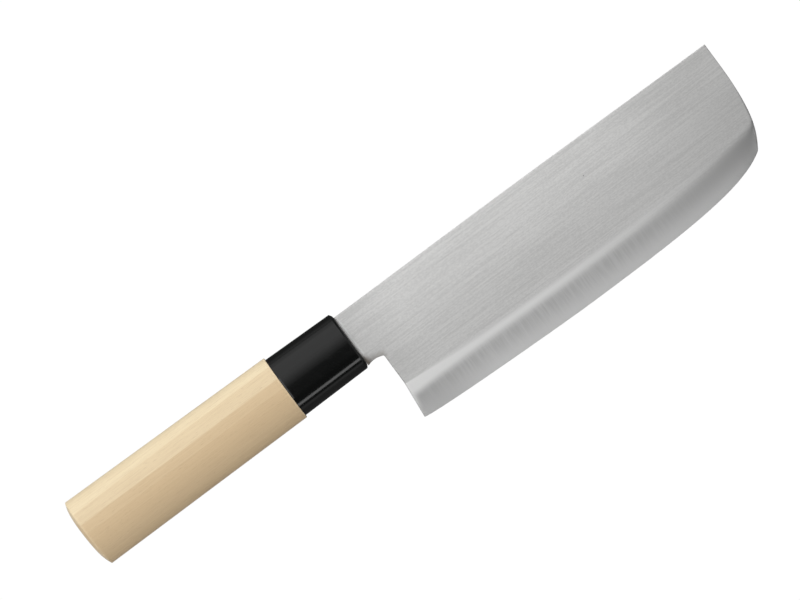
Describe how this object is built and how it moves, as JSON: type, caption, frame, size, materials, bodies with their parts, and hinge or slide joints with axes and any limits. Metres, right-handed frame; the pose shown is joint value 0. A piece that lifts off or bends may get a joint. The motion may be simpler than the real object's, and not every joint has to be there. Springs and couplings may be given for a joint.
{
  "type": "usuba knife",
  "caption": "Square-nosed Japanese vegetable knife with a single ground face, a pale oval wooden handle and a black oval ferrule.",
  "frame": {"origin": "centre of the knife's box in X and Y, at the height of the surface that the handle lies on", "axes": "+X from the butt to the tip, +Y towards the spine, +Z out of the ground face, square to it"},
  "size_m": [0.2924, 0.0562, 0.0211],
  "materials": {
    "blade_steel": "brushed along the flat, ground across the bevel",
    "ferrule_plastic": "gloss",
    "handle_wood": "sanded, uncoated",
    "bedding_resin": "cast"
  },
  "bodies": {
    "root": {"blade": "blade_steel", "ferrule": "ferrule_plastic", "handle": "handle_wood", "tang_bedding": "bedding_resin"}
  },
  "joints": []
}
